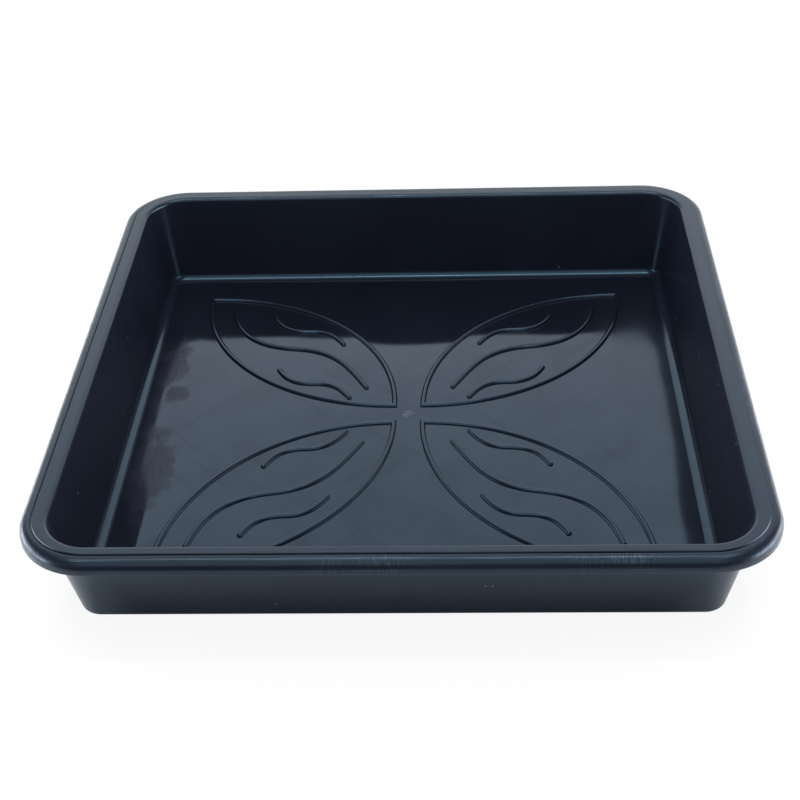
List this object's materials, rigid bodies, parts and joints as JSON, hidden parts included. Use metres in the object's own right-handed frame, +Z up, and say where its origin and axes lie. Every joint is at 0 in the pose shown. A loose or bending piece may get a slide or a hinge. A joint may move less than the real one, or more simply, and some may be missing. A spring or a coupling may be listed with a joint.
{
  "type": "square plant saucer",
  "caption": "Shallow square tray with leaning walls, rounded corners, a rolled rim and raised leaf ribs on its floor, set under a plant pot to catch water.",
  "frame": {"origin": "under the middle of the floor, on the plane that the saucer stands on", "axes": "+Z up, +X to the right and +Y to the back as the picture shows the saucer"},
  "size_m": [0.4, 0.4, 0.061],
  "materials": {
    "floor": "moulded, semi-gloss, dark slate",
    "wall": "moulded, satin, dark slate",
    "rim": "moulded, satin with fine lines along the roll, dark slate",
    "rib": "moulded, semi-gloss, dark slate",
    "gate": "rough, where the mould's gate was cut off"
  },
  "bodies": {
    "root": {"floor_panel": "floor", "front_wall": "wall", "right_wall": "wall", "back_wall": "wall", "left_wall": "wall", "front_right_wall_corner": "wall", "back_right_wall_corner": "wall", "back_left_wall_corner": "wall", "front_left_wall_corner": "wall", "front_lip": "rim", "right_lip": "rim", "back_lip": "rim", "left_lip": "rim", "front_right_lip_corner": "rim", "back_right_lip_corner": "rim", "back_left_lip_corner": "rim", "front_left_lip_corner": "rim", "front_rolled_edge": "rim", "right_rolled_edge": "rim", "back_rolled_edge": "rim", "left_rolled_edge": "rim", "front_right_rolled_edge_corner": "rim", "back_right_rolled_edge_corner": "rim", "back_left_rolled_edge_corner": "rim", "front_left_rolled_edge_corner": "rim", "back_right_leaf_edge": "rib", "back_right_long_vein": "rib", "back_right_outer_vein": "rib", "back_right_inner_vein": "rib", "back_left_leaf_edge": "rib", "back_left_long_vein": "rib", "back_left_outer_vein": "rib", "back_left_inner_vein": "rib", "front_left_leaf_edge": "rib", "front_left_long_vein": "rib", "front_left_outer_vein": "rib", "front_left_inner_vein": "rib", "front_right_leaf_edge": "rib", "front_right_long_vein": "rib", "front_right_outer_vein": "rib", "front_right_inner_vein": "rib", "gate_mark": "gate"}
  },
  "joints": []
}
